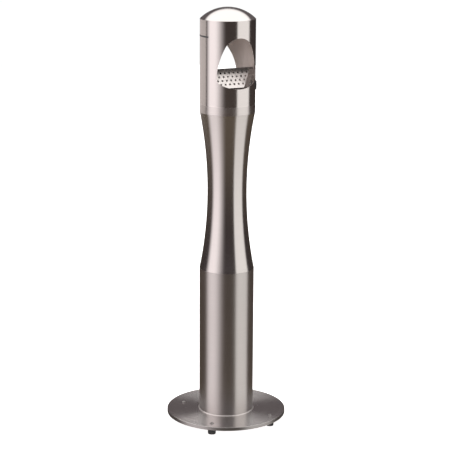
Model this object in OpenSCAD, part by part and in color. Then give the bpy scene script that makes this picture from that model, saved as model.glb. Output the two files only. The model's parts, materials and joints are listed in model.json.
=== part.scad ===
// Free-standing ashtray bin: a waisted steel post on a round base plate,
// with a lift-off domed head that has a mouth at the front and at the back.
// Z is up, the floor is at zero and the front mouth faces -Y.

/* [Overall] */
// Height from the floor to the top of the dome
overall_h = 976; // [840:1:1180]
// Diameter of the round base plate
base_d = 280; // [240:1:340]
// Outside diameter of the post and the head
tube_d = 127; // [112:1:154]
// Sheet thickness of the post and the head
wall = 1.5; // [1.2:0.1:2]

/* [Base] */
// Thickness of the base plate
plate_t = 8; // [6:0.5:12]
// Chamfer round the top edge of the base plate
plate_chamfer = 0.8; // [0.4:0.1:1.5]
// Height of each rubber foot
foot_h = 16; // [14:0.5:25]
// Diameter of each rubber foot at the plate
foot_d = 20; // [18:0.5:26]
// Distance of each front foot's centre from the plate's rim
front_inset = 22; // [15:1:36]
// Distance of each rear foot's centre from the plate's rim
rear_inset = 34; // [15:1:36]
// Height of the weld ring round the foot of the post
weld_h = 1.8; // [1:0.1:3]
// Width of the weld ring
weld_w = 2.6; // [1:0.1:4]

/* [Foot screws] */
// Diameter of each foot screw
screw_d = 5; // [4:0.5:6]
// Diameter of each foot screw's round head
screw_head_d = 8.5; // [8:0.5:12]
// Height of each foot screw's round head
screw_head_h = 2.3; // [2:0.1:3.5]
// Thickness of the washer in each foot
washer_t = 1; // [0.8:0.1:1.5]
// Width across the flats of each foot nut
nut_af = 8; // [7:0.5:9]
// Height of each foot nut
nut_h = 4; // [3:0.5:4.5]

/* [Post] */
// Outside diameter at the narrowest place of the waist
waist_d = 90.8; // [75:0.2:100]
// Height of the curved waist
waist_h = 368; // [300:1:440]
// Height of the straight collar above the waist
collar_h = 18.5; // [12:0.5:30]
// Thickness of the ring that closes the collar
deck_t = 1.5; // [1.2:0.1:3]
// Step of the ring's edge behind the post's face
deck_step = 0.4; // [0.2:0.1:1]
// Height of the upright ring that centres the head
spigot_h = 30; // [20:1:36]
// Gap between the upright ring and the head
spigot_gap = 0.5; // [0.3:0.1:1]
// Height of the cone that leads stubs to the liner
chute_h = 14; // [8:0.5:15]
// Sheet thickness of the cone
chute_t = 1.2; // [1:0.1:2]

/* [Head] */
// Height of the head's straight tube
head_h = 192; // [180:1:230]
// Height of the dome
dome_h = 26; // [20:1:36]
// Height of the front mouth
mouth_h = 114.5; // [105:0.5:130]
// Width of the front mouth at its widest
mouth_w = 95.4; // [79:0.2:97]
// Radius of the front mouth's top
mouth_top_r = 36; // [28:0.1:38]
// Height of the rear mouth
rear_mouth_h = 98; // [90:0.5:130]
// Width of the rear mouth at its widest
rear_mouth_w = 88; // [79:0.2:97]
// Radius of the rear mouth's top
rear_mouth_top_r = 30; // [26:0.1:36]
// Height of each mouth's lowest point above the seam
mouth_sill = 39.5; // [38:0.5:46]
// Radius of each mouth's lower corners
mouth_corner_r = 15.6; // [12:0.1:18]
// Height of the lower corners' centres above each mouth's lowest point
mouth_corner_z = 23.1; // [21:0.1:26]

/* [Stub roof] */
// Height of the roof's ridge above the seam
ridge_z = 81; // [76:0.5:90]
// Slope of each flank from level, in degrees
flank_angle = 56; // [50:1:60]
// Length of each flank down its slope
flank_l = 52; // [48:0.5:54]
// Thickness of the roof's sheet
roof_t = 1.5; // [1:0.1:2]
// Outside radius of the fold along the ridge
fold_r = 2.5; // [2:0.1:3]
// Spacing of the holes
hole_pitch = 11; // [10:0.1:11.5]
// Diameter of each hole
hole_d = 5; // [3:0.1:6]
// Number of rows of holes in each flank
hole_rows = 4; // [2:1:4]
// Distance of the top row from the ridge
top_row_s = 13.7; // [13:0.1:15]
// Width of each flank at its lower edge
flank_end_w = 54.6; // [44:0.2:58]

/* [Roof brackets] */
// Thickness of the brackets that hold the roof
bracket_t = 2; // [1.5:0.1:3]
// Width of each bracket across the ridge
bracket_w = 15; // [10:0.5:16]
// Drop of each bracket below the ridge
bracket_drop = 27; // [22:0.5:30]
// Length of each bracket along the ridge
bracket_l = 15; // [13:0.5:16]
// Diameter of each roof rivet's shank
rivet_d = 2.4; // [2:0.1:3]

/* [Liner] */
// Depth of the liner below the seam
liner_h = 310; // [240:1:340]
// Gap between the liner and the waist
liner_gap = 2.5; // [2:0.1:5]
// Sheet thickness of the liner
liner_t = 1; // [0.8:0.1:1.5]
// Width of the flange that the liner hangs by
rim_w = 5; // [3.5:0.1:6]
// Gap between the liner and the ring it hangs in
deck_gap = 0.7; // [0.5:0.1:1.5]
// Height of the handle's pivots above the flange
pivot_h = 8.5; // [7:0.5:10]
// Width of each handle ear
ear_w = 12; // [10:0.5:14]
// Wire diameter of the handle
wire_d = 3.2; // [2.5:0.1:4]

/* [Lock] */
// Height of the lock's centre above the seam
lock_z = 42; // [40:0.5:46]
// Angle of the lock from the front mouth, in degrees
lock_turn = 62; // [56:1:68]
// Diameter of the lock's round face
lock_face_d = 20.6; // [18:0.2:22]
// Height of the lock's face above the tube
lock_face_t = 2.4; // [1.5:0.1:3.5]
// Diameter of the lock's body
lock_body_d = 17; // [16:0.5:18]
// Diameter of the lock's turning barrel
barrel_d = 12; // [10:0.5:13]
// Length of the cam from the barrel's centre
cam_l = 20; // [18:0.5:20]
// Width of the cam
cam_w = 12; // [10:0.5:13]
// Thickness of the cam
cam_t = 2.5; // [2:0.1:3]

/* [Marker strip] */
// Length of the plain dark strip round the tube
strip_l = 46; // [20:1:60]
// Height of the strip
strip_w = 3.4; // [2:0.1:8]
// Thickness of the strip
strip_t = 0.4; // [0.3:0.1:1]
// Height of the strip above the seam
strip_z = 155; // [150:1:160]

/* [Hidden] */

$fn = 96;
cut = 1;          // how far a cutter runs past the face it cuts
seat = 0.05;      // face of one fixed piece to the face it is pressed against
play = 0.3;       // end gap between pieces that turn past each other
fit = 0.1;        // running clearance round a pin or a screw
blend = 0.05;     // how far one arc of a mouth stands inside the next
past = 10;        // how far a wedge that trims an arc runs past it

// Heights
z_post = foot_h + plate_t;
lower_h = overall_h - z_post - waist_h - collar_h - deck_t - head_h - dome_h;
z_waist = z_post + lower_h;
z_collar = z_waist + waist_h;
z_deck = z_collar + collar_h;
z_seam = z_deck + deck_t;
z_dome = z_seam + head_h;

// Radii
tube_r = tube_d / 2;
tube_in = tube_r - wall;
neck_in = waist_d / 2 - wall;
liner_r = neck_in - liner_gap;
liner_in = liner_r - liner_t;
deck_in = liner_r + deck_gap;
rim_r = liner_r + rim_w;
spigot_r = tube_in - spigot_gap;
spigot_in = spigot_r - wall;

// The waist is one circular arc between the two tubes
waist_sag = tube_r - waist_d / 2;
waist_arc = (pow(waist_h / 2, 2) + waist_sag * waist_sag) / (2 * waist_sag);
dome_r = (tube_r * tube_r + dome_h * dome_h) / (2 * dome_h);

// Feet, from the front left round to the rear, as angle from +X and distance out
feet = [[228, base_d / 2 - front_inset], [305, base_d / 2 - front_inset],
        [137, base_d / 2 - rear_inset], [43, base_d / 2 - rear_inset]];
foot_taper = 2;

// Screws and nuts in the feet
washer_over = 2;
pocket_gap = 0.5;
washer_d = nut_af / cos(30) + washer_over;
pocket_d = washer_d + 2 * pocket_gap;
pocket_h = foot_h / 2;
shank_past = 0.5;
shank_low = pocket_h - washer_t - nut_h - shank_past;
socket_af = 3;

mouth_z = z_seam + mouth_sill;

// The roof narrows down its flanks to leave room for the lock
roof_z = z_seam + ridge_z;
roof_r = tube_in - seat;
row_step = hole_pitch * cos(30);
hole_web = 2.9;
hole_edge = hole_d / 2 + hole_web;
tab_l = 6;
flank_in = 4.45;
flank_top = roof_r - flank_in;
flank_fall = (flank_top - flank_end_w / 2) / flank_l;
rivet_head_d = 4;
rivet_head_t = 1;
rivet_s = 7;
rivet_edge = 3;
rivet_u = flank_half(rivet_s) - rivet_edge;

// Lock positions, measured out from the middle of the post
lock_az = lock_turn - 90;
z_lock = z_seam + lock_z;
face_x = tube_r + seat;
face_bevel = 0.6;
lock_nut_af = 22;
lock_nut_t = 3.5;
body_past = 2.3;
spacer_r = 12;
spacer_t = 1;
spacer_x = sqrt(tube_in * tube_in - spacer_r * spacer_r) - spacer_t;
lock_nut_x = spacer_x - lock_nut_t;
body_x = lock_nut_x - body_past;
cam_x = body_x - play - cam_t;
neck_d = 8;
hub_d = cam_w + 2;
hole_l = 10;
cam_screw_d = 4;
cam_screw_l = 7;
cam_screw_head_d = 10.5;
cam_screw_head_t = 2;
key_w = 1.5;
key_l = 7;
key_deep = 4;

// The catch that the cam turns under
catch_gap = 0.6;
catch_t = 2;
catch_near = 14;
catch_far = 24;
catch_r = spigot_in - seat;
catch_low = chute_h + 1;
catch_rivets_z = [catch_low + 4, catch_low + 10];
catch_past = 1.5;
ledge_z = z_lock + cam_w / 2 + catch_gap;
ledge_x = cam_x - catch_past;
catch_az = lock_az + asin((catch_near + catch_far) / 2 / catch_r);

// The handle swings clear under the roof
z_rim = z_seam + liner_t;
z_pivot = z_rim + pivot_h;
ear_t = 1.5;
ear_in = 1.5;
ear_x = liner_r + ear_in;
arm_over = 0.4;
stop_over = 2;
arm_d = wire_d + arm_over;
stop_d = arm_d + stop_over;
stop_t = 1;
stop_x = ear_x + ear_t + play;
roof_reach = norm([flank_l * cos(flank_angle) - roof_t * sin(flank_angle),
                   roof_z - z_pivot - flank_l * sin(flank_angle) - roof_t * cos(flank_angle)]);
bail_gap = 2;
bail_r = min(liner_in - wire_d - bail_gap, roof_reach - wire_d / 2 - bail_gap);

module tube(r, t, h) {
    difference() {
        cylinder(r = r, h = h);
        translate([0, 0, -cut]) cylinder(r = r - t, h = h + 2 * cut);
    }
}

module at_foot(place) {
    rotate([0, 0, place[0]]) translate([place[1], 0, 0]) children();
}

module at_feet() {
    for (place = feet) at_foot(place) children();
}

// Turns a shape drawn along +Z so that it runs out from the post at one angle
module outward(az, x, z) {
    rotate([0, 0, az]) translate([x, 0, z]) rotate([0, 90, 0]) children();
}

module base_plate() {
    color("Silver") difference() {
        union() {
            translate([0, 0, foot_h]) cylinder(d = base_d, h = plate_t - plate_chamfer);
            translate([0, 0, z_post - plate_chamfer])
                cylinder(r1 = base_d / 2, r2 = base_d / 2 - plate_chamfer, h = plate_chamfer);
        }
        at_feet() translate([0, 0, foot_h - cut]) cylinder(d = screw_d + 2 * fit, h = plate_t + 2 * cut);
    }
}

module foot(place) {
    color("DimGray") at_foot(place) difference() {
        cylinder(d1 = foot_d - foot_taper, d2 = foot_d, h = foot_h);
        translate([0, 0, -cut]) cylinder(d = screw_d + 2 * fit, h = foot_h + 2 * cut);
        translate([0, 0, -cut]) cylinder(d = pocket_d, h = pocket_h + cut);
    }
}

module foot_screws() {
    color("Gainsboro") at_feet() difference() {
        union() {
            translate([0, 0, shank_low]) cylinder(d = screw_d, h = z_post - shank_low + seat);
            translate([0, 0, z_post + seat]) cylinder(d = screw_head_d, h = screw_head_h / 2);
            translate([0, 0, z_post + seat + screw_head_h / 2])
                cylinder(d1 = screw_head_d, d2 = screw_head_d - screw_head_h, h = screw_head_h / 2);
        }
        translate([0, 0, z_post + screw_head_h / 2]) cylinder(d = socket_af / cos(30), h = screw_head_h, $fn = 6);
    }
}

module foot_washers() {
    color("Gainsboro") at_feet() translate([0, 0, pocket_h - washer_t]) difference() {
        cylinder(d = washer_d, h = washer_t);
        translate([0, 0, -cut]) cylinder(d = screw_d + 2 * fit, h = washer_t + 2 * cut);
    }
}

module foot_nuts() {
    color("Gainsboro") at_feet() translate([0, 0, pocket_h - washer_t - nut_h]) difference() {
        cylinder(d = nut_af / cos(30), h = nut_h, $fn = 6);
        translate([0, 0, -cut]) cylinder(d = screw_d + 2 * fit, h = nut_h + 2 * cut);
    }
}

module foot_ring() {
    color("WhiteSmoke") translate([0, 0, z_post]) difference() {
        cylinder(r1 = tube_r + weld_w, r2 = tube_r + weld_w / 3, h = weld_h);
        translate([0, 0, -cut]) cylinder(r = tube_r, h = weld_h + 2 * cut);
    }
}

module lower_tube() {
    color("Silver") translate([0, 0, z_post]) tube(tube_r, wall, lower_h);
}

module waist_solid(t) {
    rotate_extrude() difference() {
        square([tube_r - t, waist_h]);
        translate([waist_d / 2 + waist_arc, waist_h / 2]) circle(r = waist_arc + t, $fn = 720);
    }
}

module waist_shell() {
    color("Silver") translate([0, 0, z_waist]) difference() {
        waist_solid(0);
        translate([0, 0, -cut]) cylinder(r = neck_in, h = waist_h + 2 * cut);
        waist_solid(wall);
    }
}

module top_collar() {
    color("Silver") translate([0, 0, z_collar]) tube(tube_r, wall, collar_h);
}

module deck_ring() {
    color("Gainsboro") translate([0, 0, z_deck]) tube(tube_r - deck_step, tube_r - deck_step - deck_in, deck_t);
}

module spigot() {
    color("Silver") difference() {
        translate([0, 0, z_seam]) tube(spigot_r, wall, spigot_h);
        catch_rivet_shanks(fit);
    }
}

module chute_ring() {
    low_r = rim_r + deck_gap;
    color("LightGray") translate([0, 0, z_seam]) difference() {
        cylinder(r1 = low_r + chute_t, r2 = catch_r, h = chute_h);
        cylinder(r1 = low_r, r2 = catch_r - chute_t, h = chute_h);
    }
}

module catch_rivet_shanks(gap) {
    for (dz = catch_rivets_z)
        outward(catch_az, catch_r - 2 * catch_t, z_seam + dz)
            cylinder(d = rivet_d + 2 * gap, h = spigot_r - catch_r + 2 * catch_t + (gap > 0 ? cut : 0));
}

module catch_bracket() {
    color("Gainsboro") difference() {
        rotate([0, 0, lock_az]) union() {
            intersection() {
                translate([0, 0, z_seam + catch_low]) tube(catch_r, catch_t, ledge_z + catch_t - z_seam - catch_low);
                translate([0, catch_near, z_seam]) cube([tube_r, catch_far - catch_near, head_h]);
            }
            intersection() {
                translate([0, 0, ledge_z]) cylinder(r = catch_r, h = catch_t);
                translate([ledge_x, catch_near, ledge_z]) cube([tube_r, catch_far - catch_near, catch_t]);
            }
        }
        catch_rivet_shanks(fit);
    }
}

module catch_rivets() {
    color("Gainsboro") {
        catch_rivet_shanks(0);
        for (dz = catch_rivets_z)
            outward(catch_az, catch_r - catch_t - seat - rivet_head_t, z_seam + dz)
                cylinder(d = rivet_head_d, h = rivet_head_t);
    }
}

module liner_can() {
    color("LightGray") translate([0, 0, z_seam - liner_h]) tube(liner_r, liner_t, liner_h + liner_t);
}

module liner_base() {
    color("LightGray") translate([0, 0, z_seam - liner_h]) cylinder(r = liner_in, h = liner_t);
}

module liner_rim() {
    color("LightGray") translate([0, 0, z_seam]) tube(rim_r, rim_w, liner_t);
}

module bail_ears() {
    color("LightGray") for (m = [0, 1]) mirror([m, 0, 0]) difference() {
        translate([ear_x, 0, 0]) union() {
            translate([0, -ear_w / 2, z_rim]) cube([ear_t, ear_w, pivot_h]);
            translate([0, 0, z_pivot]) rotate([0, 90, 0]) cylinder(d = ear_w, h = ear_t);
        }
        translate([0, 0, z_pivot]) rotate([0, 90, 0]) cylinder(d = arm_d + 2 * fit, h = tube_r);
    }
}

module bail_handle() {
    arm_x = bail_r - wire_d / 2 - play;
    color("Gray") translate([0, 0, z_pivot]) union() {
        intersection() {
            rotate_extrude() translate([bail_r, 0]) circle(d = wire_d, $fn = 48);
            translate([-tube_r, 0, -wire_d]) cube([tube_d, tube_r, 2 * wire_d]);
        }
        for (m = [0, 1]) mirror([m, 0, 0]) rotate([0, 90, 0]) {
            translate([0, 0, arm_x]) cylinder(d = arm_d, h = stop_x - arm_x + stop_t, $fn = 48);
            translate([0, 0, stop_x]) cylinder(d = stop_d, h = stop_t, $fn = 48);
        }
    }
}

// Half of a mouth's outline, from four tangent arcs, made solid over a length along +Z
module mouth_half_solid(w, h, top_r, l) {
    half = w / 2;
    top_z = h - top_r;
    corner_x = half - mouth_corner_r;
    rise = top_z - mouth_corner_z;
    side_r = (half * half + rise * rise - top_r * top_r) / (2 * (half - top_r));
    base_r = (corner_x * corner_x + mouth_corner_z * mouth_corner_z - mouth_corner_r * mouth_corner_r)
           / (2 * (mouth_corner_z - mouth_corner_r));
    turn = atan2(rise, side_r - half);
    sweep = atan2(base_r - mouth_corner_z, corner_x);
    side_x = half - side_r;
    far = side_r + past;
    low = base_r + past;
    translate([0, top_z, 0]) cylinder(r = top_r, h = l);
    translate([corner_x, mouth_corner_z, 0]) cylinder(r = mouth_corner_r, h = l);
    intersection() {
        translate([side_x, mouth_corner_z, 0]) cylinder(r = side_r - blend, h = l, $fn = 360);
        linear_extrude(height = l) polygon([[0, mouth_corner_z], [half + past, mouth_corner_z],
            [side_x + far * cos(turn), mouth_corner_z + far * sin(turn)], [0, top_z]]);
    }
    intersection() {
        translate([0, base_r, 0]) cylinder(r = base_r - blend, h = l, $fn = 360);
        linear_extrude(height = l) polygon([[0, base_r],
            [low * cos(sweep), base_r - low * sin(sweep)], [0, base_r - low]]);
    }
}

// One mouth, running out from the middle of the head along +Z
module mouth(w, h, top_r) {
    union() {
        mouth_half_solid(w, h, top_r, tube_r + cut);
        mirror([1, 0, 0]) mouth_half_solid(w, h, top_r, tube_r + cut);
    }
}

module mouths() {
    translate([0, 0, mouth_z]) rotate([90, 0, 0]) mouth(mouth_w, mouth_h, mouth_top_r);
    translate([0, 0, mouth_z]) rotate([90, 0, 180]) mouth(rear_mouth_w, rear_mouth_h, rear_mouth_top_r);
}

module head_tube() {
    color("Silver") difference() {
        translate([0, 0, z_seam]) tube(tube_r, wall, head_h);
        mouths();
        outward(lock_az, tube_r - hole_l / 2, z_lock) cylinder(d = lock_body_d + 2 * fit, h = hole_l);
    }
}

module dome_cap() {
    color("Silver") intersection() {
        translate([0, 0, z_dome + dome_h - dome_r]) difference() {
            sphere(r = dome_r, $fn = 180);
            sphere(r = dome_r - wall, $fn = 180);
        }
        translate([0, 0, z_dome]) cylinder(r = tube_r + cut, h = dome_h + cut);
    }
}

// Half the width of a flank at a distance down its slope
function flank_half(s) = flank_top - s * flank_fall;

// Hole centres across one row, every other row set over by half a pitch
function row_holes(row) = let (over = row % 2 / 2,
                               last = flank_half(top_row_s + row * row_step) - hole_edge)
    [for (i = [-10 : 10]) if (abs(i + over) * hole_pitch <= last) (i + over) * hole_pitch];

module flank() {
    rotate([flank_angle, 0, 0]) difference() {
        translate([0, 0, -roof_t]) linear_extrude(height = roof_t) polygon([
            [-tube_r, 0], [-tube_r, -tab_l],
            [-flank_half(tab_l), -tab_l], [-flank_half(flank_l), -flank_l],
            [flank_half(flank_l), -flank_l], [flank_half(tab_l), -tab_l],
            [tube_r, -tab_l], [tube_r, 0]]);
        for (row = [0 : hole_rows - 1], x = row_holes(row))
            translate([x, -(top_row_s + row * row_step), -roof_t - cut])
                cylinder(d = hole_d, h = roof_t + 2 * cut, $fn = 32);
        for (side = [-1, 1])
            translate([side * rivet_u, -rivet_s, -roof_t - cut]) cylinder(d = rivet_d + 2 * fit, h = roof_t + 2 * cut, $fn = 32);
    }
}

module stub_roof() {
    fold_y = fold_r * sin(flank_angle);
    fold_z = fold_r / cos(flank_angle);
    color("Silver") translate([0, 0, roof_z]) intersection() {
        difference() {
            union() {
                flank();
                mirror([0, 1, 0]) flank();
            }
            difference() {
                translate([-tube_r, -fold_y, -fold_z + fold_r * cos(flank_angle)]) cube([tube_d, 2 * fold_y, fold_z]);
                translate([-tube_r - cut, 0, -fold_z]) rotate([0, 90, 0]) cylinder(r = fold_r, h = tube_d + 2 * cut);
            }
        }
        translate([0, 0, -tube_r]) cylinder(r = roof_r, h = tube_d);
    }
}

// Everything under the roof's flanks, a given distance below their top faces
module under_roof(depth, x0, x1) {
    top = -depth / cos(flank_angle);
    low = -bracket_drop - cut;
    reach = (top - low) / tan(flank_angle);
    translate([x0, 0, roof_z]) rotate([90, 0, 90]) linear_extrude(height = x1 - x0)
        polygon([[0, top], [-reach, low], [reach, low]]);
}

module roof_bracket(m) {
    color("Gainsboro") mirror([m, 0, 0]) difference() {
        intersection() {
            under_roof(roof_t + seat, roof_r - bracket_l, tube_r);
            translate([0, -bracket_w / 2, roof_z - bracket_drop]) cube([tube_r, bracket_w, bracket_drop]);
            translate([0, 0, roof_z - bracket_drop]) cylinder(r = roof_r, h = bracket_drop);
        }
        intersection() {
            under_roof(roof_t + seat + bracket_t, 0, tube_r);
            translate([0, 0, roof_z - 2 * bracket_drop]) cylinder(r = roof_r - bracket_t, h = 2 * bracket_drop);
        }
        for (back = [0, 1]) mirror([0, back, 0]) roof_rivet_shank(fit, cut);
    }
}

module roof_rivet_shank(gap, over) {
    low = roof_t + seat + bracket_t;
    translate([0, 0, roof_z]) rotate([flank_angle, 0, 0]) translate([rivet_u, -rivet_s, -low - over])
        cylinder(d = rivet_d + 2 * gap, h = low + 2 * over + seat, $fn = 32);
}

module roof_rivets() {
    color("Gainsboro") for (sx = [0, 1], sy = [0, 1]) mirror([sx, 0, 0]) mirror([0, sy, 0]) union() {
        roof_rivet_shank(0, 0);
        translate([0, 0, roof_z]) rotate([flank_angle, 0, 0]) translate([rivet_u, -rivet_s, seat])
            cylinder(d = rivet_head_d, h = rivet_head_t, $fn = 32);
    }
}

module lock_housing() {
    color("DarkSlateGray") difference() {
        union() {
            outward(lock_az, body_x, z_lock) cylinder(d = lock_body_d, h = face_x - body_x + cut);
            outward(lock_az, face_x, z_lock) cylinder(d = lock_face_d, h = lock_face_t - face_bevel);
            outward(lock_az, face_x + lock_face_t - face_bevel, z_lock)
                cylinder(d1 = lock_face_d, d2 = lock_face_d - 2 * face_bevel, h = face_bevel);
        }
        outward(lock_az, body_x - cut, z_lock) cylinder(d = barrel_d + 2 * fit, h = tube_r);
    }
}

module lock_spacer() {
    color("DimGray") intersection() {
        outward(lock_az, spacer_x, z_lock) difference() {
            cylinder(r = spacer_r, h = tube_in - spacer_x);
            translate([0, 0, -cut]) cylinder(d = lock_body_d + 2 * fit, h = tube_r);
        }
        translate([0, 0, z_seam]) cylinder(r = tube_in - seat, h = head_h, $fn = 720);
    }
}

module lock_nut() {
    color("Gainsboro") outward(lock_az, lock_nut_x, z_lock) difference() {
        cylinder(d = lock_nut_af / cos(30), h = lock_nut_t - seat, $fn = 6);
        translate([0, 0, -cut]) cylinder(d = lock_body_d + 2 * fit, h = lock_nut_t + 2 * cut);
    }
}

module lock_barrel() {
    back = cam_x + cam_t + seat;
    front = face_x + lock_face_t - play;
    color("Gray") difference() {
        union() {
            outward(lock_az, back, z_lock) cylinder(d = barrel_d, h = front - back);
            outward(lock_az, cam_x + seat, z_lock) cylinder(d = neck_d, h = cam_t + cut);
        }
        outward(lock_az, cam_x - cut, z_lock) cylinder(d = cam_screw_d + 2 * fit, h = cam_screw_l + 2 * cut);
        rotate([0, 0, lock_az]) translate([front - key_deep, -key_w / 2, z_lock - key_l / 2]) cube([tube_r, key_w, key_l]);
    }
}

module lock_cam() {
    color("Gainsboro") rotate([0, 0, lock_az]) translate([cam_x, 0, z_lock]) difference() {
        union() {
            rotate([0, 90, 0]) cylinder(d = hub_d, h = cam_t);
            translate([0, -cam_w / 2, cam_w / 2 - cam_l]) cube([cam_t, cam_w, cam_l - cam_w / 2]);
            translate([0, 0, cam_w / 2 - cam_l]) rotate([0, 90, 0]) cylinder(d = cam_w, h = cam_t);
        }
        translate([-cut, 0, 0]) rotate([0, 90, 0]) cylinder(d = neck_d + 2 * fit, h = cam_t + 2 * cut);
    }
}

module cam_screw() {
    head_x = cam_x - seat - cam_screw_head_t;
    color("Gainsboro") difference() {
        union() {
            outward(lock_az, head_x, z_lock) cylinder(d = cam_screw_head_d, h = cam_screw_head_t);
            outward(lock_az, head_x + cut, z_lock) cylinder(d = cam_screw_d, h = cam_screw_l);
        }
        outward(lock_az, head_x - cut, z_lock) cylinder(d = socket_af / cos(30), h = cut + cam_screw_head_t / 2, $fn = 6);
    }
}

module marker_strip() {
    half = strip_l / tube_r * 90 / PI;
    color("DarkSlateGray") intersection() {
        translate([0, 0, z_seam + strip_z - strip_w / 2]) tube(tube_r + seat + strip_t, strip_t, strip_w);
        rotate([0, 0, 180 - half]) cube([tube_d, tube_d, overall_h]);
        rotate([0, 0, 90 + half]) cube([tube_d, tube_d, overall_h]);
    }
}

base_plate();
foot(feet[0]);  // foot_front_left
foot(feet[1]);  // foot_front_right
foot(feet[2]);  // foot_rear_left
foot(feet[3]);  // foot_rear_right
foot_screws();
foot_washers();
foot_nuts();
foot_ring();
lower_tube();
waist_shell();
top_collar();
deck_ring();
spigot();
chute_ring();
catch_bracket();
catch_rivets();
liner_can();
liner_base();
liner_rim();
bail_ears();
bail_handle();
head_tube();
dome_cap();
stub_roof();
roof_bracket(1);  // roof_bracket_left
roof_bracket(0);  // roof_bracket_right
roof_rivets();
lock_housing();
lock_spacer();
lock_nut();
lock_barrel();
lock_cam();
cam_screw();
marker_strip();
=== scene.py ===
"""Ashtray bin: its sheet pieces, finishes, rounded edges and studio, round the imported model."""
import json
import math

import bpy
from mathutils import Matrix, Vector

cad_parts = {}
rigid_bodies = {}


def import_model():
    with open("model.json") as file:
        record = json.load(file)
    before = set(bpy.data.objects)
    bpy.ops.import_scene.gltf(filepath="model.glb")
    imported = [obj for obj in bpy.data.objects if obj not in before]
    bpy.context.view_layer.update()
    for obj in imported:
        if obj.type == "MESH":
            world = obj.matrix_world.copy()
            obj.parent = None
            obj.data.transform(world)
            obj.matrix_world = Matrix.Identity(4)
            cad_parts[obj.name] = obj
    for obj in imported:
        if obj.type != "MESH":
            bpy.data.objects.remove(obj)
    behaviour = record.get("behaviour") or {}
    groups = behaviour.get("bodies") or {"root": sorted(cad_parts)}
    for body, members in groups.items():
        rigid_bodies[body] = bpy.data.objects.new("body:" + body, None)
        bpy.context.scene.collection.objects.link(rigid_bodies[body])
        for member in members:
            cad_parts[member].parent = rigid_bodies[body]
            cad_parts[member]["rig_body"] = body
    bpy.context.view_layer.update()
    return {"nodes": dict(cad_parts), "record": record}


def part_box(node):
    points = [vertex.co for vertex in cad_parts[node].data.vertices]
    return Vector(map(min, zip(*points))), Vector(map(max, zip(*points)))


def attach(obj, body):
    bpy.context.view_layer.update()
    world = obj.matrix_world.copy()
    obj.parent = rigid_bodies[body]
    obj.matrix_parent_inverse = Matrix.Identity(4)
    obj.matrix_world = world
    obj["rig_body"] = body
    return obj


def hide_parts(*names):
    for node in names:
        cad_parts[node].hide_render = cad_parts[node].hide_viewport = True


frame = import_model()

bl_info = {
    "name": "Ashtray Bin",
    "version": (1, 0, 0),
    "blender": (4, 5, 0),
    "location": "3D View > Sidebar > Ashtray Bin",
    "description": "Models and finishes a free-standing ashtray bin piece by piece",
    "category": "Object",
}

LOW, HIGH = 0, 1
QUARTER = math.tau / 4
SMOOTH_BELOW = math.radians(32)
BEVEL_ABOVE = math.radians(40)
FLAT_WITHIN = math.radians(0.6)
MERGE = 2e-6
ARC_STEPS = 20
BEAD_STEPS = 8


def radius_of(node):
    """Half of a round node's width."""
    return (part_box(node)[HIGH].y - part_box(node)[LOW].y) / 2


# ------------------------------------------------------------------ settings


class BinSizes(bpy.types.PropertyGroup):
    round_steps: bpy.props.IntProperty(
        name="Steps round", description="Steps round each turned piece", default=256, min=64, max=360)
    wall: bpy.props.FloatProperty(
        name="Sheet", description="Sheet thickness of the post and the head", default=0.0015,
        min=0.001, max=0.003, unit="LENGTH", precision=4)
    edge: bpy.props.FloatProperty(
        name="Edge", description="Rounding of sheet edges", default=0.00035, min=0.0001, max=0.001,
        unit="LENGTH", precision=5)
    fine_edge: bpy.props.FloatProperty(
        name="Fine edge", description="Rounding of the edges of small pieces", default=0.00012, min=0.00005,
        max=0.0005, unit="LENGTH", precision=5)
    neck: bpy.props.FloatProperty(
        name="Neck", description="Outside diameter at the narrowest place of the waist",
        default=0.0908, min=0.07, max=0.11, unit="LENGTH", precision=4)
    sill: bpy.props.FloatProperty(
        name="Mouth sill", description="Lowest point of both mouths above the seam",
        default=0.0395, min=0.038, max=0.046, unit="LENGTH", precision=4)
    corner: bpy.props.FloatProperty(
        name="Mouth corner", description="Radius of the mouths' lower corners", default=0.0156, min=0.012,
        max=0.018, unit="LENGTH", precision=4)
    shoulder: bpy.props.FloatProperty(
        name="Mouth shoulder", description="Height of the corners' centres above the sill", default=0.0231,
        min=0.02, max=0.026, unit="LENGTH", precision=4)
    front_mouth: bpy.props.FloatVectorProperty(
        name="Front mouth", description="Width, height and top radius of the front mouth",
        default=(0.0954, 0.1145, 0.036), min=0.02, max=0.13, size=3, unit="LENGTH", precision=4)
    rear_mouth: bpy.props.FloatVectorProperty(
        name="Rear mouth", description="Width, height and top radius of the rear mouth",
        default=(0.088, 0.098, 0.03), min=0.02, max=0.13, size=3, unit="LENGTH", precision=4)
    lock_hole: bpy.props.FloatProperty(
        name="Lock hole", description="Diameter of the head's hole for the lock", default=0.0172, min=0.01,
        max=0.03, unit="LENGTH", precision=4)


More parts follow.
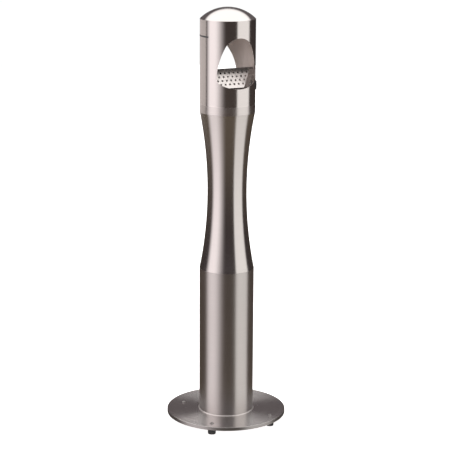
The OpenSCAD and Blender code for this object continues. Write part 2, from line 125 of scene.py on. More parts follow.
class BinColours(bpy.types.PropertyGroup):
    steel: bpy.props.FloatVectorProperty(
        name="Brushed steel", description="Post, waist, collar and head",
        default=(0.63, 0.60, 0.585), min=0, max=1, size=3, subtype="COLOR")
    plate: bpy.props.FloatVectorProperty(
        name="Base plate", description="Brushed top of the base plate",
        default=(0.68, 0.65, 0.64), min=0, max=1, size=3, subtype="COLOR")
    inner: bpy.props.FloatVectorProperty(
        name="Inner steel", description="Unpolished steel inside the head",
        default=(0.50, 0.455, 0.43), min=0, max=1, size=3, subtype="COLOR")
    zinc: bpy.props.FloatVectorProperty(
        name="Galvanised liner", description="Liner sheet",
        default=(0.52, 0.54, 0.55), min=0, max=1, size=3, subtype="COLOR")
    rubber: bpy.props.FloatVectorProperty(
        name="Rubber", description="Feet and lock spacer",
        default=(0.018, 0.018, 0.018), min=0, max=1, size=3, subtype="COLOR")
    black: bpy.props.FloatVectorProperty(
        name="Black finish", description="Lock face and marker strip",
        default=(0.03, 0.03, 0.032), min=0, max=1, size=3, subtype="COLOR")
    plating: bpy.props.FloatVectorProperty(
        name="Plating", description="Screws, nuts, rivets and cam",
        default=(0.66, 0.65, 0.62), min=0, max=1, size=3, subtype="COLOR")
    floor: bpy.props.FloatVectorProperty(
        name="Floor", description="Pale studio floor",
        default=(0.9, 0.9, 0.9), min=0, max=1, size=3, subtype="COLOR")


class BinStudio(bpy.types.PropertyGroup):
    turn: bpy.props.FloatProperty(
        name="Turn", description="Camera's place round the bin, from the front mouth to the left",
        default=math.radians(26), min=-math.pi, max=math.pi, subtype="ANGLE")
    distance: bpy.props.FloatProperty(
        name="Distance", description="Level distance from the post to the camera",
        default=3.603, min=2, max=8, unit="LENGTH")
    height: bpy.props.FloatProperty(
        name="Height", description="Height of the camera above the floor", default=1.352, min=0.2, max=3,
        unit="LENGTH")
    pitch: bpy.props.FloatProperty(
        name="Pitch", description="How far the camera looks down",
        default=math.radians(13.74), min=0, max=1.2, subtype="ANGLE")
    lens: bpy.props.FloatProperty(
        name="Lens", description="Focal length on a 36 mm sensor, in millimetres",
        default=127.7, min=35, max=300)
    surround: bpy.props.FloatProperty(
        name="Surround", description="Strength of the soft panels round and above the bin",
        default=1.0, min=0, max=5)
    card: bpy.props.FloatProperty(
        name="Card", description="Power of the small card behind the head's left side",
        default=0.7, min=0, max=5, unit="POWER")
    fill: bpy.props.FloatProperty(
        name="Fill", description="Power of the soft lamp in front", default=13.0, min=0, max=50,
        unit="POWER")


# ------------------------------------------------------------ modelling by hand


def only(obj):
    """Selects one object and nothing else."""
    if bpy.context.mode != "OBJECT":
        bpy.ops.object.mode_set(mode="OBJECT")
    bpy.ops.object.select_all(action="DESELECT")
    obj.select_set(True)
    bpy.context.view_layer.objects.active = obj


def in_edit(obj, work):
    """Runs work() on the object in edit mode, with everything deselected first."""
    only(obj)
    bpy.ops.object.mode_set(mode="EDIT")
    bpy.ops.mesh.select_mode(type="VERT")
    bpy.ops.mesh.select_all(action="DESELECT")
    work()
    bpy.ops.object.mode_set(mode="OBJECT")


def modified(obj, kind, **settings):
    """Adds a modifier with its settings and applies it."""
    only(obj)
    modifier = obj.modifiers.new(kind.title(), kind)
    for name, value in settings.items():
        setattr(modifier, name, value)
    bpy.ops.object.modifier_apply(modifier=modifier.name)


def rounded(obj, width, segments=2):
    """Rounds the sharp edges and shades the rest smooth."""
    if width:
        modified(obj, "BEVEL", width=width, segments=segments, limit_method="ANGLE",
                 angle_limit=BEVEL_ABOVE, use_clamp_overlap=True, harden_normals=False)
    only(obj)
    bpy.ops.object.shade_smooth_by_angle(angle=SMOOTH_BELOW)
    modified(obj, "WEIGHTED_NORMAL", keep_sharp=True)


def settled(obj, name, node, finish):
    """Names a piece and puts it in the place of its node, on the node's body."""
    only(obj)
    bpy.ops.object.transform_apply(location=True, rotation=True, scale=True)
    obj.name = obj.data.name = name
    obj.data.materials.clear()
    obj.data.materials.append(finish)
    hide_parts(node)
    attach(obj, frame["nodes"][node]["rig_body"])
    next(s["material_slot"] for s in frame["record"]["subparts"] if s["node"] == node)


def drawn(points, finish_up):
    """Draws a closed outline by extruding one vertex from point to point, then runs finish_up()."""
    bpy.ops.object.select_all(action="DESELECT")
    bpy.ops.mesh.primitive_plane_add(size=0.001, location=points[0])
    obj = bpy.context.object
    bpy.ops.object.transform_apply(location=True)

    def draw():
        bpy.ops.mesh.select_all(action="SELECT")
        bpy.ops.mesh.merge(type="CENTER")
        for start, end in zip(points, points[1:] + points[:1]):
            bpy.ops.mesh.extrude_region_move(TRANSFORM_OT_translate={"value": Vector(end) - Vector(start)})
        bpy.ops.mesh.select_all(action="SELECT")
        bpy.ops.mesh.remove_doubles(threshold=MERGE)
        finish_up()
        bpy.ops.mesh.select_all(action="SELECT")
        bpy.ops.mesh.normals_make_consistent(inside=False)

    in_edit(obj, draw)
    return obj


def turned(outline, steps):
    """Spins a closed outline of (radius, height) points round the post's axis."""

    def spin():
        bpy.ops.mesh.spin(steps=steps, angle=math.tau, center=(0, 0, 0), axis=(0, 0, 1))
        bpy.ops.mesh.select_all(action="SELECT")
        bpy.ops.mesh.remove_doubles(threshold=MERGE)

    return drawn([(r, 0, z) for r, z in outline], spin)


def wall_outline(outer, wall, low, high, stages=1):
    """The closed outline of a wall whose outside radius follows outer(height)."""
    levels = [low + (high - low) * i / stages for i in range(stages + 1)]
    return [(outer(z), z) for z in levels] + [(outer(z) - wall, z) for z in reversed(levels)]


def cleaned_copy(node):
    """A copy of a node with its triangles joined up into whole faces."""
    only(frame["nodes"][node])
    bpy.ops.object.duplicate()
    obj = bpy.context.object
    for key in [k for k in obj.keys() if k.startswith("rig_")]:
        del obj[key]
    obj.parent = None

    def join():
        bpy.ops.mesh.select_all(action="SELECT")
        bpy.ops.mesh.remove_doubles(threshold=MERGE)
        bpy.ops.mesh.dissolve_limited(angle_limit=FLAT_WITHIN)

    in_edit(obj, join)
    return obj


def dressed(name, node, finish, width=None, segments=2):
    """A cleaned copy of a node with rounded edges and its finish."""
    obj = cleaned_copy(node)
    rounded(obj, sizes().fine_edge if width is None else width, segments)
    settled(obj, name, node, finish)


def sizes():
    return bpy.context.scene.bin_sizes


def colours():
    return bpy.context.scene.bin_colours


def studio():
    return bpy.context.scene.bin_studio


# ------------------------------------------------------------------- finishes


class Wire:
    """A socket that can be added, multiplied and so on."""

    def __init__(self, kit, socket):
        self.kit, self.socket = kit, socket

    def _math(self, operation, *values):
        return self.kit.add("ShaderNodeMath", {"operation": operation}, *values)

    def __add__(self, other):
        return self._math("ADD", self, other)

    def __radd__(self, other):
        return self._math("ADD", other, self)

    def __sub__(self, other):
        return self._math("SUBTRACT", self, other)

    def __rsub__(self, other):
        return self._math("SUBTRACT", other, self)

    def __mul__(self, other):
        return self._math("MULTIPLY", self, other)

    def __rmul__(self, other):
        return self._math("MULTIPLY", other, self)

    def __pow__(self, other):
        return self._math("POWER", self, other)

    def __rpow__(self, other):
        return self._math("POWER", other, self)

    def __abs__(self):
        return self._math("ABSOLUTE", self)


class Kit:
    """Builds one node tree."""

    def __init__(self, tree):
        self.tree = tree
        tree.nodes.clear()

    def add(self, kind, settings=None, *values, out=0, **named):
        """One node: its settings first, then its sockets, by order or by name."""
        node = self.tree.nodes.new(kind)
        for name, value in (settings or {}).items():
            setattr(node, name, value)
        by_name = ((node.inputs[name.replace("_", " ")], value) for name, value in named.items())
        for socket, value in [*zip(node.inputs, values), *by_name]:
            if isinstance(value, Wire):
                self.tree.links.new(value.socket, socket)
            elif value is not None:
                socket.default_value = (*value, 1) if socket.type == "RGBA" else value
        return Wire(self, node.outputs[out]) if node.outputs else None

    def outputs(self, kind, settings=None, *values):
        """Every output of one node, by name."""
        node = self.add(kind, settings, *values).socket.node
        return {socket.name: Wire(self, socket) for socket in node.outputs}

    def split(self, vector):
        return list(self.outputs("ShaderNodeSeparateXYZ", {}, vector).values())

    def join(self, x, y, z):
        return self.add("ShaderNodeCombineXYZ", {}, x, y, z)

    def place(self):
        return self.outputs("ShaderNodeTexCoord")["Object"]

    def noise(self, vector, scale=1.0, detail=2.0, roughness=0.5):
        return self.add("ShaderNodeTexNoise", {}, Vector=vector, Scale=scale, Detail=detail,
                        Roughness=roughness)

    def ramp(self, value, low, high):
        """Maps low..high to 0..1 and holds beyond."""
        return self.add("ShaderNodeMapRange", {"clamp": True}, value, low, high, 0.0, 1.0)

    def smooth(self, value, low, high):
        """Maps low..high to 0..1 with soft ends."""
        return self.add("ShaderNodeMapRange", {"clamp": True, "interpolation_type": "SMOOTHSTEP"},
                        value, low, high, 0.0, 1.0)

    def mix(self, factor, first, second):
        """Mixes two colours; the node's own colour sockets follow six of other kinds."""
        return self.add("ShaderNodeMix", {"data_type": "RGBA"}, factor, None, None, None, None, None,
                        first, second, out=2)

    def bump(self, height, strength, distance):
        return self.add("ShaderNodeBump", {}, Height=height, Strength=strength, Distance=distance)


def shaded(colour, amount):
    return tuple(c * amount for c in colour)


def surface(name, build, **constants):
    """A material with a Principled shader; build(kit) gives what its sockets read."""
    material = bpy.data.materials.new(name)
    material.use_nodes = True
    kit = Kit(material.node_tree)
    shader = kit.add("ShaderNodeBsdfPrincipled", {}, **constants, **build(kit))
    kit.add("ShaderNodeOutputMaterial", {}, shader)
    return material


def finish(name, maker, *args, **kwargs):
    """Each finish is made once and shared."""
    return bpy.data.materials.get(name) or maker(name, *args, **kwargs)


def brushed_round(name, colour, rough=0.24, inside=0.0):
    """Steel brushed round the axis, with handling marks; dull on the faces nearer the axis than inside."""

    def build(k):
        x, y, z = k.split(k.place())
        fine = k.noise(k.join(x * 22, y * 22, z * 2600), detail=3, roughness=0.6)
        coarse = k.noise(k.join(x * 9, y * 9, z * 420), detail=2)
        cloud = k.noise(k.join(x * 14, y * 14, z * 9), detail=3)
        scratch = k.smooth(k.noise(k.join(x * 30, y * 30, z * 900), detail=1), 0.69, 0.75)
        tone = k.ramp(fine * 0.45 + coarse * 0.25 + cloud * 0.3, 0.3, 0.7)
        clean = k.mix(tone, shaded(colour, 0.95), shaded(colour, 1.03))
        bright = k.mix(scratch * 0.2, clean, shaded(colour, 0.85))
        dull = 1 - k.smooth((x * x + y * y) ** 0.5, inside + 0.0001, inside + 0.001)
        mill = k.noise(k.place(), 60, 4, 0.6)
        return {
            "Base_Color": k.mix(dull, bright, k.mix(mill, (0.62, 0.545, 0.51), (0.76, 0.68, 0.64))),
            "Metallic": 1 - dull * 0.45,
            "Roughness": rough - 0.02 + k.ramp(fine, 0.3, 0.7) * 0.03 + k.ramp(cloud, 0.3, 0.7) * 0.02
            + dull * (0.25 + mill * 0.1),
            "Normal": k.bump(fine * 0.7 + coarse * 0.3, 0.07, 0.00004),
        }

    return surface(name, build, Anisotropic=0.75, Anisotropic_Rotation=0.25)


def brushed_disc(name, colour, rough=0.23):
    """Steel brushed in rings on a flat disc, with a darker, duller cut edge."""

    def build(k):
        x, y, z = k.split(k.place())
        r = (x * x + y * y) ** 0.5
        fine = k.noise(k.join(r * 1900, x * 16, y * 16), detail=3, roughness=0.6)
        coarse = k.noise(k.join(r * 260, x * 7, y * 7), detail=2)
        cloud = k.noise(k.join(x * 18, y * 18, z), detail=4)
        tone = k.ramp(fine * 0.5 + coarse * 0.3 + cloud * 0.2, 0.3, 0.7)
        rim = k.smooth(r, radius_of("base_plate") - 0.0012, radius_of("base_plate") - 0.0004)
        worn = k.mix(tone, shaded(colour, 0.9), shaded(colour, 1.06))
        return {
            "Base_Color": k.mix(rim, worn, shaded(colour, 0.62)),
            "Roughness": rough - 0.02 + k.ramp(fine, 0.3, 0.7) * 0.05 + k.ramp(cloud, 0.35, 0.7) * 0.02
            + rim * 0.22,
            "Normal": k.bump(fine * 0.7 + coarse * 0.3, 0.03, 0.00004),
        }

    return surface(name, build, Metallic=1.0, Anisotropic=0.92, Anisotropic_Rotation=0.25)


def mill_steel(name, colour, rough=0.42, matt=0.2, soot=0.0, ridge=10.0):
    """Unpolished sheet: soft clouding, fine rolling lines, a few ash stains and painted shade below the
    ridge.
    """

    def build(k):
        x, y, z = k.split(k.place())
        cloud = k.noise(k.join(x * 45, y * 45, z * 45), detail=4, roughness=0.6)
        lines = k.noise(k.join(x * 60, y * 900, z * 900), detail=2)
        stain = k.smooth(k.noise(k.join(x * 80, y * 80, z * 60), detail=5, roughness=0.65), 0.54, 0.72)
        # Painted shade: over the last few millimetres below the ridge the colour turns near black, standing
        # in for the shade the mouth's arch casts on the roof.
        ridge_shade = k.smooth(z + cloud * 0.004, ridge - 0.015, ridge - 0.003)
        clean = k.mix(k.ramp(cloud, 0.3, 0.7), shaded(colour, 0.93), shaded(colour, 1.04))
        base = k.mix(ridge_shade * 0.92, clean, (0.06, 0.052, 0.048))
        return {
            "Base_Color": k.mix(stain * soot, base, (0.13, 0.1, 0.075)),
            "Roughness": rough + k.ramp(cloud, 0.3, 0.7) * 0.06 + stain * (0.25 * soot),
            "Metallic": 1 - matt + cloud * 0.05,
            "Normal": k.bump(cloud * 0.5 + lines * 0.5, 0.06, 0.00005),
        }

    return surface(name, build)


def plated(name, colour, rough=0.2):
    """Bright zinc plating with small tarnish spots."""

    def build(k):
        place = k.place()
        spots = k.smooth(k.noise(place, 520, 3), 0.56, 0.7)
        grain = k.noise(place, 1800, 2)
        return {
            "Base_Color": k.mix(spots, colour, shaded(colour, 0.62)),
            "Roughness": rough + spots * 0.18 + grain * 0.06,
            "Normal": k.bump(grain, 0.12, 0.00005),
        }

    return surface(name, build, Metallic=1.0)


def rubbery(name, colour):
    """Moulded rubber: pores, dust near the floor and a dull bloom."""

    def build(k):
        place = k.place()
        x, y, z = k.split(place)
        pores = k.noise(place, 1400, 3)
        bloom = k.noise(place, 160, 4)
        dust = (1 - k.smooth(z, 0.0, 0.006)) * k.smooth(bloom, 0.4, 0.7)
        rubber = k.mix(bloom, shaded(colour, 0.7), shaded(colour, 1.5))
        return {
            "Base_Color": k.mix(dust * 0.5, rubber, (0.12, 0.11, 0.1)),
            "Roughness": 0.55 + bloom * 0.25,
            "Normal": k.bump(pores, 0.3, 0.0001),
        }

    return surface(name, build, IOR=1.5)


def black_enamel(name, colour):
    """Black enamel over metal, rubbed a little."""

    def build(k):
        place = k.place()
        peel = k.noise(place, 900, 3)
        rub = k.smooth(k.noise(place, 260, 4, 0.6), 0.6, 0.75)
        return {
            "Base_Color": k.mix(rub * 0.6, colour, (0.16, 0.155, 0.15)),
            "Roughness": 0.32 + peel * 0.15,
            "Normal": k.bump(peel, 0.15, 0.0001),
        }

    return surface(name, build, Metallic=0.0, Coat_Weight=0.2, Coat_Roughness=0.2)


def galvanised(name, colour):
    """Zinc sheet with its crystal spangle and grey ash film."""

    def build(k):
        place = k.place()
        crystal = k.add("ShaderNodeTexVoronoi", {"feature": "F1"}, Vector=place, Scale=130.0, out=1)
        tone = k.add("ShaderNodeRGBToBW", {}, crystal)
        film = k.noise(place, 35, 4)
        base = k.mix(tone, shaded(colour, 0.78), shaded(colour, 1.14))
        return {
            "Base_Color": k.mix(k.ramp(film, 0.45, 0.75) * 0.5, base, (0.24, 0.23, 0.22)),
            "Roughness": 0.36 + tone * 0.12 + k.ramp(film, 0.4, 0.75) * 0.2,
            "Normal": k.bump(tone * 0.6 + film * 0.4, 0.15, 0.0001),
        }

    return surface(name, build, Metallic=1.0)


def steel_bead(name, colour):
    """Polished weld bead with its ripples."""

    def build(k):
        place = k.place()
        ripple = k.noise(place, 420, 3)
        return {
            "Base_Color": k.mix(ripple, shaded(colour, 0.95), shaded(colour, 1.25)),
            "Roughness": 0.3 + ripple * 0.12,
            "Normal": k.bump(ripple, 0.4, 0.0002),
        }

    return surface(name, build, Metallic=1.0)


# --------------------------------------------------------------------- pieces


class BIN_OT_plate(bpy.types.Operator):
    """Base plate with its chamfered rim and screw holes"""
    bl_idname = "bin.plate"
    bl_label = "Base plate"

    def execute(self, context):
        dressed("plate_disc", "base_plate", finish("brushed plate", brushed_disc, colours().plate),
                width=sizes().edge)
        return {"FINISHED"}


class BIN_OT_feet(bpy.types.Operator):
    """Four rubber feet with their screws, washers and nuts"""
    bl_idname = "bin.feet"
    bl_label = "Feet"

    def execute(self, context):
        rubber = finish("foot rubber", rubbery, colours().rubber)
        zinc = finish("zinc plating", plated, colours().plating)
        for node in ("foot_front_left", "foot_front_right", "foot_rear_left", "foot_rear_right"):
            dressed(node + "_rubber", node, rubber, width=2 * sizes().edge, segments=3)
        dressed("foot_screw_set", "foot_screws",
                finish("screw steel", plated, shaded(colours().plate, 0.6), rough=0.42))
        dressed("foot_washer_set", "foot_washers", zinc)
        dressed("foot_nut_set", "foot_nuts", zinc)
        return {"FINISHED"}


class BIN_OT_bead(bpy.types.Operator):
    """Weld bead round the foot of the post"""
    bl_idname = "bin.bead"
    bl_label = "Weld bead"

    def execute(self, context):
        low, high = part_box("foot_ring")
        inner = radius_of("lower_tube")
        outer = radius_of("foot_ring")
        tall, wide = high.z - low.z, outer - inner
        arc = [(inner + wide * math.cos(a), low.z + tall * math.sin(a))
               for a in (QUARTER * i / BEAD_STEPS for i in range(BEAD_STEPS + 1))]
        bead = turned([(inner, low.z)] + arc, sizes().round_steps)
        rounded(bead, 0)
        settled(bead, "foot_bead", "foot_ring", finish("polished bead", steel_bead, colours().steel))
        return {"FINISHED"}


class BIN_OT_post(bpy.types.Operator):
    """Lower tube, waist and collar"""
    bl_idname = "bin.post"
    bl_label = "Post"

    def execute(self, context):
        wall, steps = sizes().wall, sizes().round_steps
        steel = finish("brushed waist", brushed_round, colours().steel, rough=0.22)
        tube = finish("brushed tube", brushed_round, shaded(colours().steel, 0.86), rough=0.33)
        band = finish("brushed collar", brushed_round, shaded(colours().steel, 1.06), rough=0.3)
        straight = (("lower_tube_sleeve", "lower_tube", tube), ("collar_band", "top_collar", band))
        for name, node, coat in straight:
            low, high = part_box(node)
            piece = turned(wall_outline(lambda z: radius_of("lower_tube"), wall, low.z, high.z), steps)
            rounded(piece, sizes().edge)
            settled(piece, name, node, coat)
        low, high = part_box("waist_shell")
        wide, half, middle = radius_of("lower_tube"), (high.z - low.z) / 2, (high.z + low.z) / 2
        sag = wide - sizes().neck / 2
        arc = (half * half + sag * sag) / (2 * sag)

        def curve(z):
            return sizes().neck / 2 + arc - math.sqrt(arc * arc - (z - middle) ** 2)

        waist = turned(wall_outline(curve, wall, low.z, high.z, stages=64), steps)
        rounded(waist, sizes().edge)
        settled(waist, "waist_spun", "waist_shell", steel)
        return {"FINISHED"}


class BIN_OT_rings(bpy.types.Operator):
    """Rings at the seam: the closing ring, the upright ring and the cone over the liner"""
    bl_idname = "bin.rings"
    bl_label = "Seam rings"

    def execute(self, context):
        satin = finish("satin ring", brushed_round, shaded(colours().steel, 1.2), rough=0.2)
        inner = finish("inner steel", mill_steel, colours().inner)
        dressed("seam_ring", "deck_ring", satin, width=sizes().fine_edge)
        dressed("spigot_ring", "spigot", inner)
        dressed("chute_cone", "chute_ring", inner)
        return {"FINISHED"}


class BIN_OT_head(bpy.types.Operator):
    """Head tube with its two mouths and the lock's hole"""
    bl_idname = "bin.head"
    bl_label = "Head"

    def execute(self, context):
        s = sizes()
        low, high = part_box("head_tube")
        wide = radius_of("head_tube")
        head = turned(wall_outline(lambda z: wide, s.wall, low.z, high.z, stages=24), s.round_steps)
        cutters = (self.mouth(wide, s.front_mouth, -1), self.mouth(wide, s.rear_mouth, 1),
                   self.lock_hole(wide))
        for cutter in cutters:
            modified(head, "BOOLEAN", operation="DIFFERENCE", solver="EXACT", object=cutter)
            bpy.data.objects.remove(cutter)
        rounded(head, s.edge * 0.8)
        steel = finish("brushed head", brushed_round, shaded(colours().steel, 1.08), rough=0.2,
                       inside=wide - s.wall)
        settled(head, "head_sleeve", "head_tube", steel)
        return {"FINISHED"}

    def mouth(self, wide, size, side):
        """One mouth as a bar from the middle of the head outward.

        Half of its outline is four tangent arcs: sill, lower corner, side and top.
        """
        s = sizes()
        width, height, top = size
        half, corner, corner_z = width / 2, s.corner, s.shoulder
        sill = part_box("head_tube")[LOW].z + s.sill
        top_z, corner_x = height - top, half - corner
        rise = top_z - corner_z
        side_r = (half ** 2 + rise ** 2 - top ** 2) / (2 * (half - top))
        base_r = (corner_x ** 2 + corner_z ** 2 - corner ** 2) / (2 * (corner_z - corner))
        turn = math.atan2(rise, side_r - half)
        sweep = math.atan2(base_r - corner_z, corner_x)
        arcs = ((0, base_r, base_r, -math.pi / 2, -sweep), (corner_x, corner_z, corner, -sweep, 0),
                (half - side_r, corner_z, side_r, 0, turn), (0, top_z, top, turn, math.pi / 2))
        right = []
        for cx, cz, r, start, end in arcs:
            for i in range(ARC_STEPS):
                a = start + (end - start) * i / ARC_STEPS
                right.append((cx + r * math.cos(a), cz + r * math.sin(a)))
        outline = right + [(0, height)] + [(-x, z) for x, z in reversed(right[1:])]

        def bar():
            bpy.ops.mesh.edge_face_add()
            bpy.ops.mesh.extrude_region_move(TRANSFORM_OT_translate={"value": (0, 2 * wide * side, 0)})

        return drawn([(x, 0, sill + z) for x, z in outline], bar)

    def lock_hole(self, wide):
        """A plug where the lock passes through the tube."""
        low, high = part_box("lock_housing")
        middle = (low + high) / 2
        out = Vector((middle.x, middle.y, 0)).normalized()
        bpy.ops.object.select_all(action="DESELECT")
        bpy.ops.mesh.primitive_cylinder_add(vertices=64, radius=sizes().lock_hole / 2, depth=0.02,
                                            location=out * wide + Vector((0, 0, middle.z)),
                                            rotation=out.to_track_quat("Z", "Y").to_euler())
        bpy.ops.object.transform_apply(location=True, rotation=True, scale=True)
        return bpy.context.object


class BIN_OT_dome(bpy.types.Operator):
    """Domed cap"""
    bl_idname = "bin.dome"
    bl_label = "Dome"

    def execute(self, context):
        low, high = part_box("dome_cap")
        wide, tall = radius_of("head_tube"), high.z - low.z
        ball = (wide * wide + tall * tall) / (2 * tall)
        bpy.ops.object.select_all(action="DESELECT")
        bpy.ops.mesh.primitive_uv_sphere_add(segments=sizes().round_steps, ring_count=256, radius=ball,
                                             location=(0, 0, high.z - ball))
        dome = bpy.context.object
        bpy.ops.object.transform_apply(location=True)

        def cut():
            bpy.ops.mesh.select_all(action="SELECT")
            bpy.ops.mesh.bisect(plane_co=(0, 0, low.z), plane_no=(0, 0, 1), clear_inner=True,
                                clear_outer=False)

        in_edit(dome, cut)
        modified(dome, "SOLIDIFY", thickness=sizes().wall, offset=-1)
        rounded(dome, sizes().edge)
        settled(dome, "dome_pressing", "dome_cap",
                finish("brushed dome", brushed_round, shaded(colours().steel, 1.16), rough=0.13))
        return {"FINISHED"}


class BIN_OT_roof(bpy.types.Operator):
    """Perforated stub roof with its brackets and rivets"""
    bl_idname = "bin.roof"
    bl_label = "Stub roof"

    def execute(self, context):
        # ridge is the roof's top; the sheet's colour carries painted shade just below it.
        sheet = finish("roof sheet", mill_steel, shaded(colours().steel, 1.5), rough=0.3, matt=0.5,
                       soot=0.1, ridge=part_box("stub_roof")[HIGH].z)
        inner = finish("inner steel", mill_steel, colours().inner)
        dressed("roof_sheet", "stub_roof", sheet)
        dressed("bracket_left", "roof_bracket_left", inner)
        dressed("bracket_right", "roof_bracket_right", inner)
        dressed("roof_rivet_set", "roof_rivets", finish("zinc plating", plated, colours().plating))
        return {"FINISHED"}


class BIN_OT_lock(bpy.types.Operator):
    """Cam lock: black face, spacer, nut, barrel, cam, screw, and the catch"""
    bl_idname = "bin.lock"
    bl_label = "Lock"
    soft_edge = 0.0003

    def execute(self, context):
        zinc = finish("zinc plating", plated, colours().plating)
        enamel = finish("black enamel", black_enamel, colours().black)
        dressed("lock_face", "lock_housing", enamel, width=self.soft_edge)
        dressed("lock_spacer_ring", "lock_spacer", finish("foot rubber", rubbery, colours().rubber))
        dressed("lock_hex_nut", "lock_nut", zinc, width=self.soft_edge)
        dressed("lock_plug", "lock_barrel",
                finish("dark plating", plated, shaded(colours().plating, 0.45), rough=0.28))
        dressed("lock_cam_arm", "lock_cam", zinc, width=self.soft_edge)
        dressed("cam_screw_head", "cam_screw", zinc)
        dressed("catch_hook", "catch_bracket", zinc)
        dressed("catch_rivet_set", "catch_rivets", zinc)
        return {"FINISHED"}


class BIN_OT_liner(bpy.types.Operator):
    """Liner can with its base, flange, ears and wire handle"""
    bl_idname = "bin.liner"
    bl_label = "Liner"

    def execute(self, context):
        zinc = finish("galvanised sheet", galvanised, colours().zinc)
        dressed("liner_sleeve", "liner_can", zinc)
        dressed("liner_floor", "liner_base", zinc)
        dressed("liner_flange", "liner_rim", zinc)
        dressed("handle_ears", "bail_ears", zinc)
        dressed("wire_handle", "bail_handle",
                finish("bright wire", plated, shaded(colours().plating, 0.9), rough=0.16))
        return {"FINISHED"}


class BIN_OT_marker(bpy.types.Operator):
    """Plain dark strip round the head"""
    bl_idname = "bin.marker"
    bl_label = "Marker strip"
    strip_edge = 0.0001

    def execute(self, context):
        enamel = finish("black enamel", black_enamel, colours().black)
        dressed("dark_strip", "marker_strip", enamel, width=self.strip_edge)
        return {"FINISHED"}


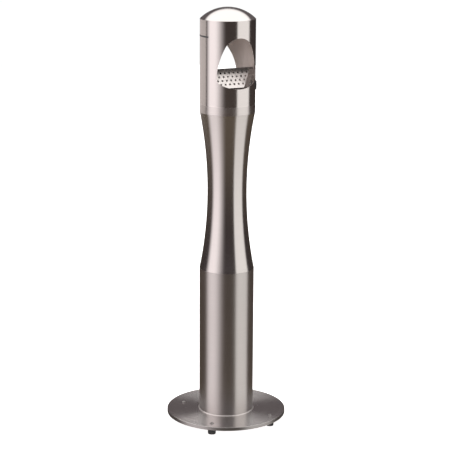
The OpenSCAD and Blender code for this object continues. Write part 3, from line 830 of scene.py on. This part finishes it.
class BIN_OT_stage(bpy.types.Operator):
    """Pale floor, soft studio light and the camera"""
    bl_idname = "bin.stage"
    bl_label = "Stage"

    def execute(self, context):
        self.floor()
        self.surround(context.scene)
        self.card()
        self.fill()
        self.camera(context.scene)
        context.scene.view_settings.view_transform = "Standard"
        return {"FINISHED"}

    def seen_from(self, across, outward, up):
        """A place right of, toward and above the camera's side of the post's foot."""
        turn = studio().turn
        toward = Vector((-math.sin(turn), -math.cos(turn), 0))
        right = Vector((math.cos(turn), -math.sin(turn), 0))
        return right * across + toward * outward + Vector((0, 0, up))

    def lamp(self, name, place, facing, width, height, power, colour, glossy):
        """A soft lamp at a place, shining the opposite way to facing."""
        lamp = bpy.data.lights.new(name, "AREA")
        lamp.shape, lamp.size, lamp.size_y = "RECTANGLE", width, height
        lamp.energy, lamp.color = power, colour
        holder = bpy.data.objects.new(name, lamp)
        holder.location = place
        holder.rotation_euler = facing.to_track_quat("Z", "Y").to_euler()
        holder.visible_camera, holder.visible_glossy = False, glossy
        bpy.context.scene.collection.objects.link(holder)

    def floor(self):
        bpy.ops.object.select_all(action="DESELECT")
        bpy.ops.mesh.primitive_circle_add(vertices=128, radius=6, fill_type="NGON", location=(0, 0, 0))
        floor = bpy.context.object
        floor.name = "studio_floor"
        floor.visible_glossy = False
        colour = tuple(colours().floor)

        def build(k):
            cloud = k.noise(k.place(), 1.5, 2)
            pale = k.mix(cloud, shaded(colour, 0.98), colour)
            return {"Base_Color": pale, "Emission_Color": pale, "Roughness": 0.85 + cloud * 0.1}

        floor.data.materials.append(surface("studio floor", build, Emission_Strength=1.0))

    def surround(self, scene):
        """Soft panels to the left, to the right and overhead, with dark room between them."""
        world = bpy.data.worlds.new("studio surround")
        scene.world = world
        world.use_nodes = True
        k = Kit(world.node_tree)
        turn = studio().turn
        x, y, z = k.split(k.outputs("ShaderNodeTexCoord")["Generated"])
        toward = x * -math.sin(turn) + y * -math.cos(turn)
        right = x * math.cos(turn) + y * -math.sin(turn)
        angle = k.add("ShaderNodeMath", {"operation": "ARCTAN2"}, right, toward) * math.degrees(1)

        def band(start, end, soft_start, soft_end):
            """1 between two angles round the bin, with soft sides."""
            return k.smooth(angle, start - soft_start, start + soft_start) * (
                1 - k.smooth(angle, end - soft_end, end + soft_end))

        level = k.smooth(z, -0.45, -0.05)
        room = k.mix(level, (0.15, 0.12, 0.09), (0.034, 0.026, 0.028))
        behind = k.smooth(abs(angle), 100, 112) * k.smooth(z, 0.0, 0.12)
        high = k.smooth(z, 0.13, 0.2)
        light = k.mix(1 - (1 - behind) * (1 - high), room, (0.14, 0.122, 0.124))
        light = k.mix(band(-89, -32, 13, 26) * (0.72 + level * 0.28), light, (1.45, 1.35, 1.36))
        light = k.mix(band(40, 99, 3, 5) * (0.76 + level * 0.24), light, (1.2, 1.165, 1.13))

        tip = math.radians(15)
        along = z * math.cos(tip) - toward * math.sin(tip)
        overhead = k.mix(k.smooth(z, 0.5, 0.75), (1.1, 1.08, 1.07), (1.5, 1.48, 1.46))
        dish = k.smooth(along, math.cos(math.radians(47)), math.cos(math.radians(40)))
        light = k.mix(dish, light, overhead)
        seen = k.outputs("ShaderNodeLightPath")["Is Camera Ray"]
        light = k.mix(seen, light, (1.02, 1.02, 1.02))
        k.add("ShaderNodeOutputWorld", {}, k.add("ShaderNodeBackground", {}, light, studio().surround))

    def card(self):
        """A small card behind the head's left side."""
        away, gap, height = math.radians(-132), 0.7, 0.75
        facing = self.seen_from(math.sin(away), math.cos(away), 0)
        self.lamp("side_card", facing * gap + Vector((0, 0, height)), facing, 0.95, 0.38, studio().card,
                  (1, 0.92, 0.89), True)

    def fill(self):
        """A soft lamp in front that only lights the dull surfaces, such as those inside the mouth."""
        facing, height = self.seen_from(0, 1.3, 0.7), 0.85
        self.lamp("front_fill", facing + Vector((0, 0, height)), facing, 0.5, 0.5, studio().fill,
                  (1, 1, 1), False)

    def camera(self, scene):
        s = studio()
        data = bpy.data.cameras.new("view_camera")
        data.lens, data.sensor_width = s.lens, 36
        camera = bpy.data.objects.new("view_camera", data)
        aside, lean = math.radians(0.07), math.radians(0.28)
        yaw = Matrix.Rotation(aside - s.turn, 4, "Z")
        tilt = Matrix.Rotation(math.pi / 2 - s.pitch, 4, "X")
        roll = Matrix.Rotation(lean, 4, "Z")
        place = Matrix.Translation(self.seen_from(0, s.distance, s.height))
        camera.matrix_world = place @ yaw @ tilt @ roll
        scene.collection.objects.link(camera)
        scene.camera = camera


class BIN_PT_panel(bpy.types.Panel):
    """Lists the pieces and their settings"""
    bl_label = "Ashtray Bin"
    bl_idname = "BIN_PT_panel"
    bl_space_type = "VIEW_3D"
    bl_region_type = "UI"
    bl_category = "Ashtray Bin"

    def draw(self, context):
        for group in (context.scene.bin_sizes, context.scene.bin_colours, context.scene.bin_studio):
            box = self.layout.box()
            for name in group.__annotations__:
                box.prop(group, name)
        for operator in OPERATORS:
            self.layout.operator(operator.bl_idname)


GROUPS = (("bin_sizes", BinSizes), ("bin_colours", BinColours), ("bin_studio", BinStudio))
OPERATORS = (BIN_OT_stage, BIN_OT_plate, BIN_OT_feet, BIN_OT_bead, BIN_OT_post, BIN_OT_rings, BIN_OT_head,
             BIN_OT_dome, BIN_OT_roof, BIN_OT_lock, BIN_OT_liner, BIN_OT_marker)


def register():
    for name, group in GROUPS:
        bpy.utils.register_class(group)
        setattr(bpy.types.Scene, name, bpy.props.PointerProperty(type=group))
    for operator in OPERATORS:
        bpy.utils.register_class(operator)
    bpy.utils.register_class(BIN_PT_panel)


def unregister():
    bpy.utils.unregister_class(BIN_PT_panel)
    for operator in reversed(OPERATORS):
        bpy.utils.unregister_class(operator)
    for name, group in reversed(GROUPS):
        delattr(bpy.types.Scene, name)
        bpy.utils.unregister_class(group)


def main():
    register()
    for operator in OPERATORS:
        area, action = operator.bl_idname.split(".")
        getattr(getattr(bpy.ops, area), action)()


if __name__ == "__main__":
    main()
